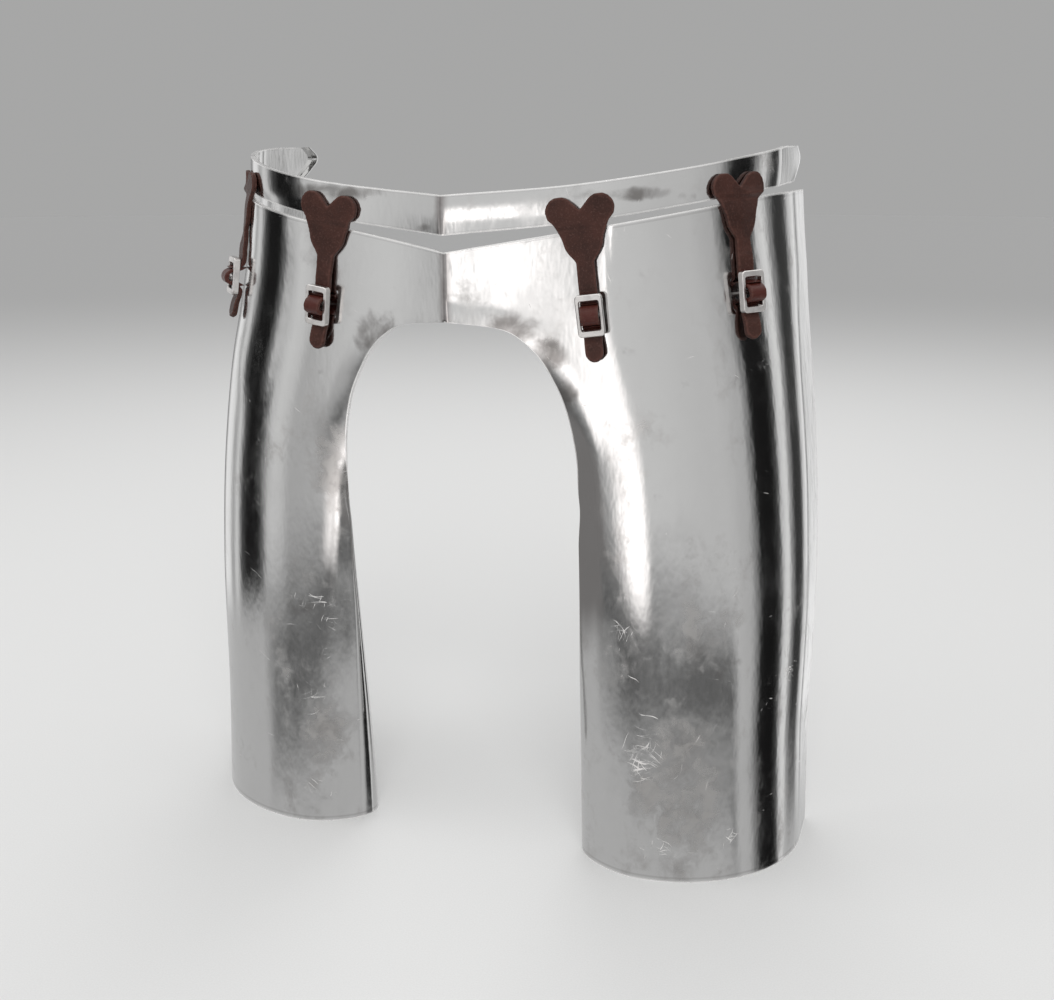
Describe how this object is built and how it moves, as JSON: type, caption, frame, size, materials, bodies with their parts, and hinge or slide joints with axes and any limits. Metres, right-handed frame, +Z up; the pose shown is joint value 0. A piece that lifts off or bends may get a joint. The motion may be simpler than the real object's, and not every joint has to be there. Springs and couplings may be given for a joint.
{
  "type": "leg armour",
  "caption": "Steel plate armour for the thighs and lower belly: a waist band joined to an arched thigh plate by buckled leather straps, open at the back.",
  "frame": {"origin": "centre of the armour's box at the level of the legs' lower edges, on which it stands", "axes": "+Z up, +X to the wearer's left, -Y to the front"},
  "size_m": [0.4612, 0.201, 0.493],
  "materials": {
    "steel": "mirror-polished plate with cloudy patches, fine scratches and small nicks",
    "leather": "dark brown strap leather, fine grain, slightly glossy, worn lighter on its edges",
    "buckle_steel": "satin nickel-coloured buckle with soft rounded edges"
  },
  "bodies": {
    "root": {"waist_band": "steel", "thigh_plate": "steel", "front_strap_left": "leather", "front_strap_right": "leather", "side_strap_left": "leather", "side_strap_right": "leather", "front_buckle_left": "buckle_steel", "front_buckle_right": "buckle_steel", "side_buckle_left": "buckle_steel", "side_buckle_right": "buckle_steel"}
  },
  "joints": []
}
